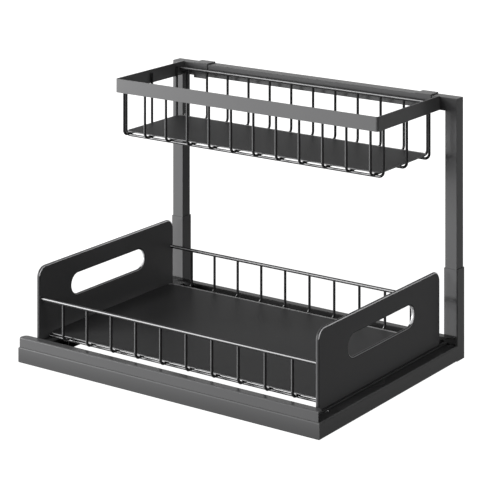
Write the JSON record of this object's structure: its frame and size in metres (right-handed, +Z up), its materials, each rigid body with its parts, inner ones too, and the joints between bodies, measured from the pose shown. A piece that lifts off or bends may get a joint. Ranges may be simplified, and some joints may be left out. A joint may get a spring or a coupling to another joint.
{
  "type": "under sink organizer",
  "caption": "Two-tier under sink organizer: floor frame with rear arch, pull-out wire basket on roller runners, and a shallow wire basket hooked over the arch.",
  "frame": {"origin": "middle of the footprint, on the floor", "axes": "+X to the right, -Y towards the user (the basket pulls out towards -Y), +Z up"},
  "size_m": [0.4, 0.3, 0.2943],
  "materials": {
    "frame_paint": "powder-coated steel, gunmetal grey, semi-gloss",
    "strip_paint": "powder-coated steel, gunmetal grey, semi-gloss",
    "panel_paint": "powder-coated steel, gunmetal grey, semi-gloss",
    "wire_paint": "powder-coated steel wire, gunmetal grey, semi-gloss",
    "tray_paint": "powder-coated steel sheet, gunmetal grey, matt",
    "band_paint": "powder-coated steel, gunmetal grey, semi-gloss",
    "roller_nylon": "moulded nylon, black, satin",
    "axle_zinc": "zinc-plated steel"
  },
  "bodies": {
    "base": {"front_rail": "frame_paint", "left_side_rail": "frame_paint", "right_side_rail": "frame_paint", "rear_rail": "frame_paint", "left_sleeve": "frame_paint", "right_sleeve": "frame_paint", "left_post": "frame_paint", "right_post": "frame_paint", "top_bar": "frame_paint", "left_front_axle": "axle_zinc", "right_front_axle": "axle_zinc"},
    "drawer": {"drawer_front_strip": "strip_paint", "drawer_rear_strip": "strip_paint", "left_runner": "frame_paint", "right_runner": "frame_paint", "left_roller_bracket": "frame_paint", "right_roller_bracket": "frame_paint", "left_rear_axle": "axle_zinc", "right_rear_axle": "axle_zinc"},
    "left_front_roller": {"left_front_roller": "roller_nylon"},
    "right_front_roller": {"right_front_roller": "roller_nylon"},
    "left_rear_roller": {"left_rear_roller": "roller_nylon"},
    "right_rear_roller": {"right_rear_roller": "roller_nylon"},
    "lower_basket": {"lower_left_panel": "panel_paint", "lower_right_panel": "panel_paint", "lower_cross_wires": "wire_paint", "lower_front_long_wire": "wire_paint", "lower_middle_long_wire": "wire_paint", "lower_rear_long_wire": "wire_paint", "lower_front_rim_wire": "wire_paint", "lower_rear_rim_wire": "wire_paint", "lower_tray": "tray_paint"},
    "upper_basket": {"upper_band": "band_paint", "upper_cross_wires": "wire_paint", "upper_front_long_wire": "wire_paint", "upper_middle_long_wire": "wire_paint", "upper_rear_long_wire": "wire_paint", "upper_rim_wire": "wire_paint", "upper_tray": "tray_paint", "left_hook": "wire_paint", "right_hook": "wire_paint"}
  },
  "joints": [
    {"name": "drawer_slide", "type": "slide", "parent": "base", "child": "drawer", "axis": [0, -1, 0], "range_m": [0, 0.18]},
    {"name": "lower_basket_lift", "type": "slide", "parent": "drawer", "child": "lower_basket", "axis": [0, 0, 1], "range_m": [0, 0.06]},
    {"name": "upper_basket_lift", "type": "slide", "parent": "base", "child": "upper_basket", "axis": [0, 0, 1], "range_m": [0, 0.06]},
    {"name": "left_front_roller_spin", "type": "hinge", "parent": "base", "child": "left_front_roller", "pos_m": [-0.1859, -0.118, 0.01055], "axis": [1, 0, 0], "range_deg": [0, 1433]},
    {"name": "left_rear_roller_spin", "type": "hinge", "parent": "drawer", "child": "left_rear_roller", "pos_m": [-0.1859, 0.106, 0.00875], "axis": [1, 0, 0], "range_deg": [0, 1433]},
    {"name": "right_front_roller_spin", "type": "hinge", "parent": "base", "child": "right_front_roller", "pos_m": [0.1859, -0.118, 0.01055], "axis": [1, 0, 0], "range_deg": [0, 1433]},
    {"name": "right_rear_roller_spin", "type": "hinge", "parent": "drawer", "child": "right_rear_roller", "pos_m": [0.1859, 0.106, 0.00875], "axis": [1, 0, 0], "range_deg": [0, 1433]}
  ],
  "couplings": [
    {"joint": "left_front_roller_spin", "follows": "drawer_slide", "rad_per_m": 138.89},
    {"joint": "left_rear_roller_spin", "follows": "drawer_slide", "rad_per_m": 138.89},
    {"joint": "right_front_roller_spin", "follows": "drawer_slide", "rad_per_m": 138.89},
    {"joint": "right_rear_roller_spin", "follows": "drawer_slide", "rad_per_m": 138.89}
  ]
}
